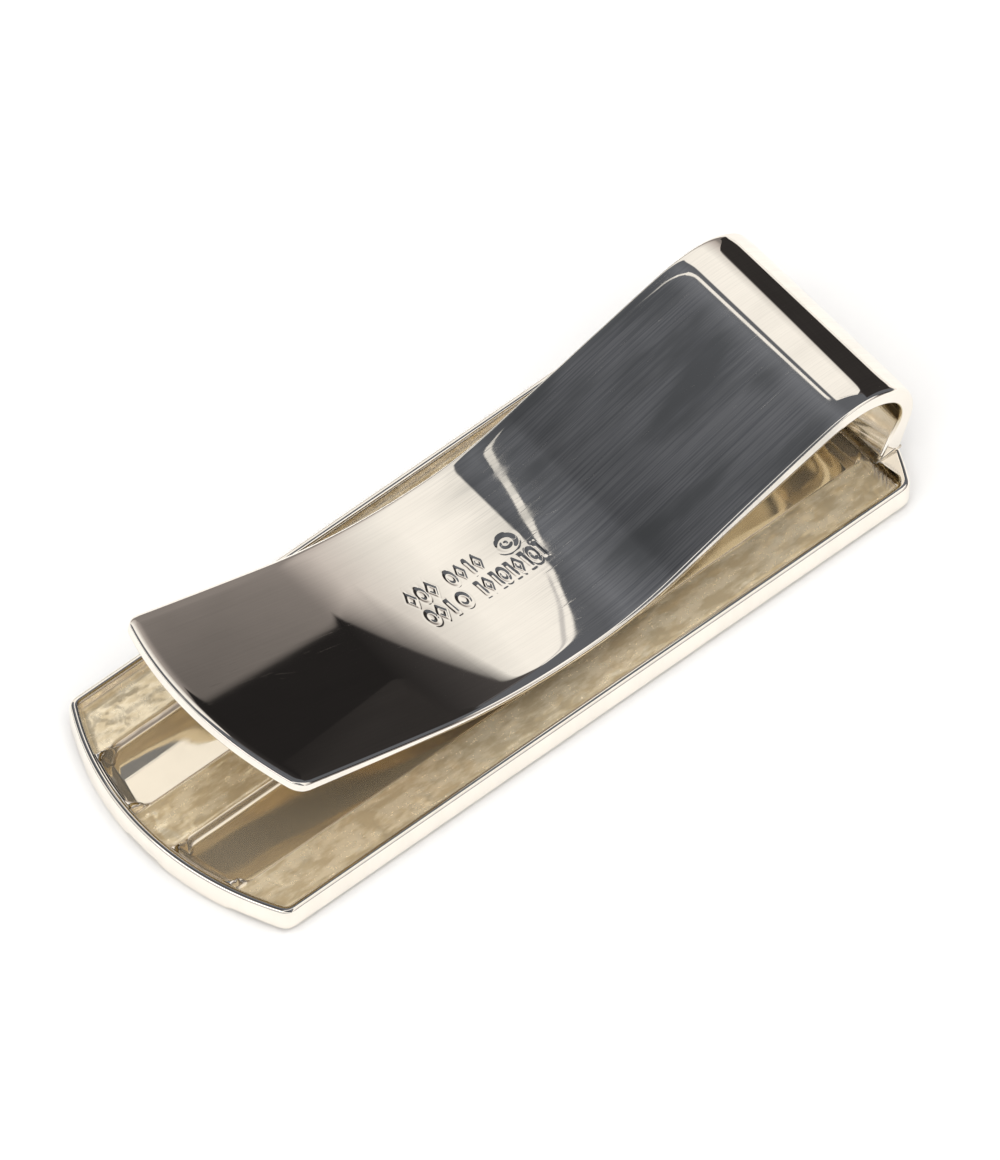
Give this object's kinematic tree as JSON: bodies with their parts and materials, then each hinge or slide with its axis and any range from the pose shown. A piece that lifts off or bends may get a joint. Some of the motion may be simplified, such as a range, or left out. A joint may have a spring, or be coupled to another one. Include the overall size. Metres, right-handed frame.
{
  "type": "money clip",
  "caption": "Money clip: a bow-ended face plate with two long raised ribs and a hollow back, and a folded spring strip that presses banknotes against the back.",
  "frame": {"origin": "middle of the clip on the plane of the face plate's two ribs, which lie on the table", "axes": "+X along the clip towards the fold, +Y across it, +Z from the ribs' face up to the spring strip"},
  "size_m": [0.0506, 0.019, 0.0102],
  "materials": {
    "silver_plate": "polished sterling silver, slightly tarnished inside the tray",
    "silver_spring": "polished sterling silver with fine lengthwise scratches",
    "silver_solder": "hard silver solder, satin"
  },
  "bodies": {
    "plate": {"face_plate": "silver_plate", "solder_seam": "silver_solder", "spring_foot": "silver_spring", "spring_bend": "silver_spring"},
    "leaf": {"spring_tongue": "silver_spring"}
  },
  "joints": [
    {"name": "leaf_flex", "type": "hinge", "parent": "plate", "child": "leaf", "pos_m": [0.02206, 0, 0.0053], "axis": [0, 1, 0], "range_deg": [-3.5, 9], "stiffness_Nm_per_rad": 0.6, "deforming": ["spring_bend"]}
  ]
}
